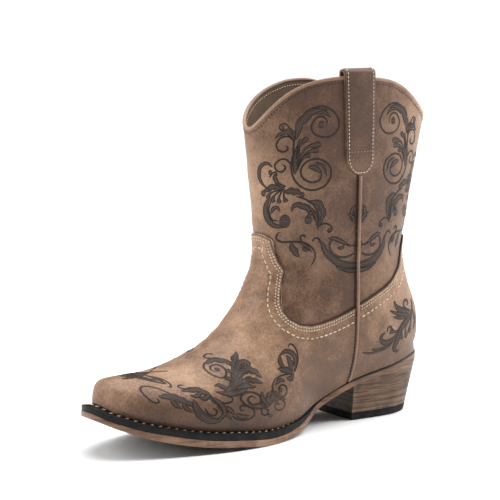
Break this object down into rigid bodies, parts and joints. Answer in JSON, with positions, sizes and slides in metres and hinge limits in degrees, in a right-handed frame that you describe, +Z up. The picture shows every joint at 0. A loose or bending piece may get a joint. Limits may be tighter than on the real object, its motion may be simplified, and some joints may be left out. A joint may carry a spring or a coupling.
{
  "type": "western ankle boot",
  "caption": "Western ankle boot for the left foot: hollow leather upper with a scalloped collar, overlaid vamp and heel counter, pull strap, welted sole and stacked heel.",
  "frame": {"origin": "on the floor, under the middle of the boot's box", "axes": "+X towards the toe, +Y towards the outer side of the left foot, +Z up"},
  "size_m": [0.2862, 0.0922, 0.2543],
  "materials": {
    "upper": "matt, distressed brown leather with a soft sheen",
    "vamp": "matt, distressed tan-brown leather",
    "heel_counter": "matt, distressed tan-brown leather",
    "pull_strap": "matt brown leather",
    "collar_binding": "pale tan leather bead",
    "side_seam_outer": "pale tan leather cord",
    "side_seam_inner": "pale tan leather cord",
    "insole": "matt board lined with pale leather",
    "welt": "near-black, satin",
    "outsole": "warm tan edge with fine grain lines",
    "heel_stack": "stacked layers with a satin edge dressing",
    "heel_cap": "matt black"
  },
  "bodies": {
    "root": {"upper": "upper", "vamp": "vamp", "heel_counter": "heel_counter", "pull_strap": "pull_strap", "collar_binding": "collar_binding", "side_seam_outer": "side_seam_outer", "side_seam_inner": "side_seam_inner", "insole": "insole", "welt": "welt", "outsole": "outsole", "heel_stack": "heel_stack", "heel_cap": "heel_cap"}
  },
  "joints": []
}
